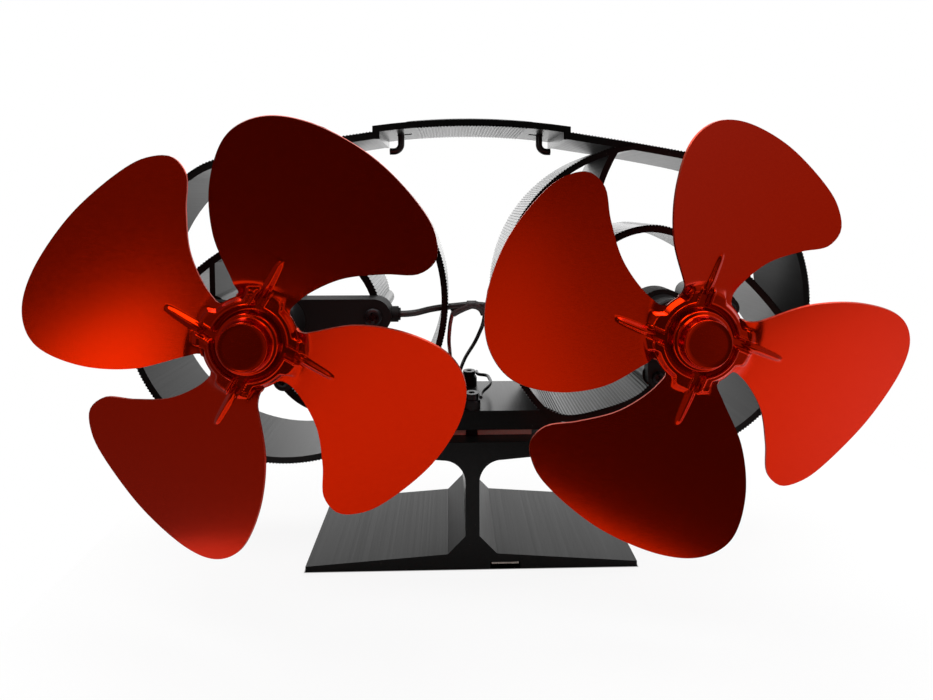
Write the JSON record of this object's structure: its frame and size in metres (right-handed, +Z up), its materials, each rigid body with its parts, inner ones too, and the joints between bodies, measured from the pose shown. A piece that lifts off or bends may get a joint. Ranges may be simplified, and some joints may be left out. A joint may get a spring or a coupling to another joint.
{
  "type": "stove fan",
  "caption": "Heat-powered stove fan: black finned heat sink with twin rings and a carrying arch on a flat stand, and red four-blade fans on small motors.",
  "frame": {"origin": "middle of the foot's underside, on the surface that it stands on", "axes": "+Z up, +X to the viewer's right across both fans, the fans face -Y"},
  "size_m": [0.3579, 0.1357, 0.2228],
  "materials": {
    "black_anodised": "black anodised extrusion, satin, fine lines along its length",
    "red_anodised": "red anodised sheet, satin, fine rolling grain",
    "black_plastic": "moulded, heat-resistant, matt",
    "motor_steel": "dark plated motor pot",
    "dark_steel": "blackened steel",
    "zinc_steel": "zinc plated",
    "shaft_steel": "ground",
    "brass": "turned",
    "bimetal": "rolled bimetal sheet",
    "module_ceramic": "matt ceramic plates with a sealed edge",
    "black_wire": "black coated spring wire",
    "red_insulation": "silicone wire insulation",
    "black_insulation": "silicone wire insulation",
    "grey_sleeve": "heat-shrink sleeve"
  },
  "bodies": {
    "frame": {"base_stand": "black_anodised", "bimetal_screw": "zinc_steel", "thermo_modules": "module_ceramic", "heat_sink": "black_anodised", "clamp_screws": "dark_steel", "clamp_washers": "dark_steel", "clamp_bushes": "black_plastic", "motor_bracket_left": "black_plastic", "bracket_screws_left": "dark_steel", "motor_left": "motor_steel", "cable_gland_left": "black_plastic", "motor_bracket_right": "black_plastic", "bracket_screws_right": "dark_steel", "motor_right": "motor_steel", "cable_gland_right": "black_plastic", "cable_left": "black_insulation", "cable_right": "black_insulation", "lead_red": "red_insulation", "lead_black": "black_insulation", "splice_sleeve": "grey_sleeve", "lock_wire": "dark_steel"},
    "left_rotor": {"fan_left": "red_anodised", "fan_bush_left": "brass", "shaft_left": "shaft_steel"},
    "right_rotor": {"fan_right": "red_anodised", "fan_bush_right": "brass", "shaft_right": "shaft_steel"},
    "lifting_handle": {"handle": "black_wire"},
    "safety_strip": {"bimetal_strip": "bimetal"}
  },
  "joints": [
    {"name": "fan_left_spin", "type": "hinge", "parent": "frame", "child": "left_rotor", "pos_m": [-0.0912, -0.063, 0.1215], "axis": [0, 1, 0], "continuous": true},
    {"name": "fan_right_spin", "type": "hinge", "parent": "frame", "child": "right_rotor", "pos_m": [0.0912, -0.063, 0.1215], "axis": [0, 1, 0], "continuous": true},
    {"name": "handle_lift", "type": "slide", "parent": "frame", "child": "lifting_handle", "axis": [0, 0, 1], "range_m": [0, 0.0058]},
    {"name": "strip_bend", "type": "hinge", "parent": "frame", "child": "safety_strip", "pos_m": [0.016, 0.0178, 0.0022], "axis": [1, 0, 0], "range_deg": [0, 2.5], "stiffness_Nm_per_rad": 0.3, "springref_deg": -1.15}
  ]
}
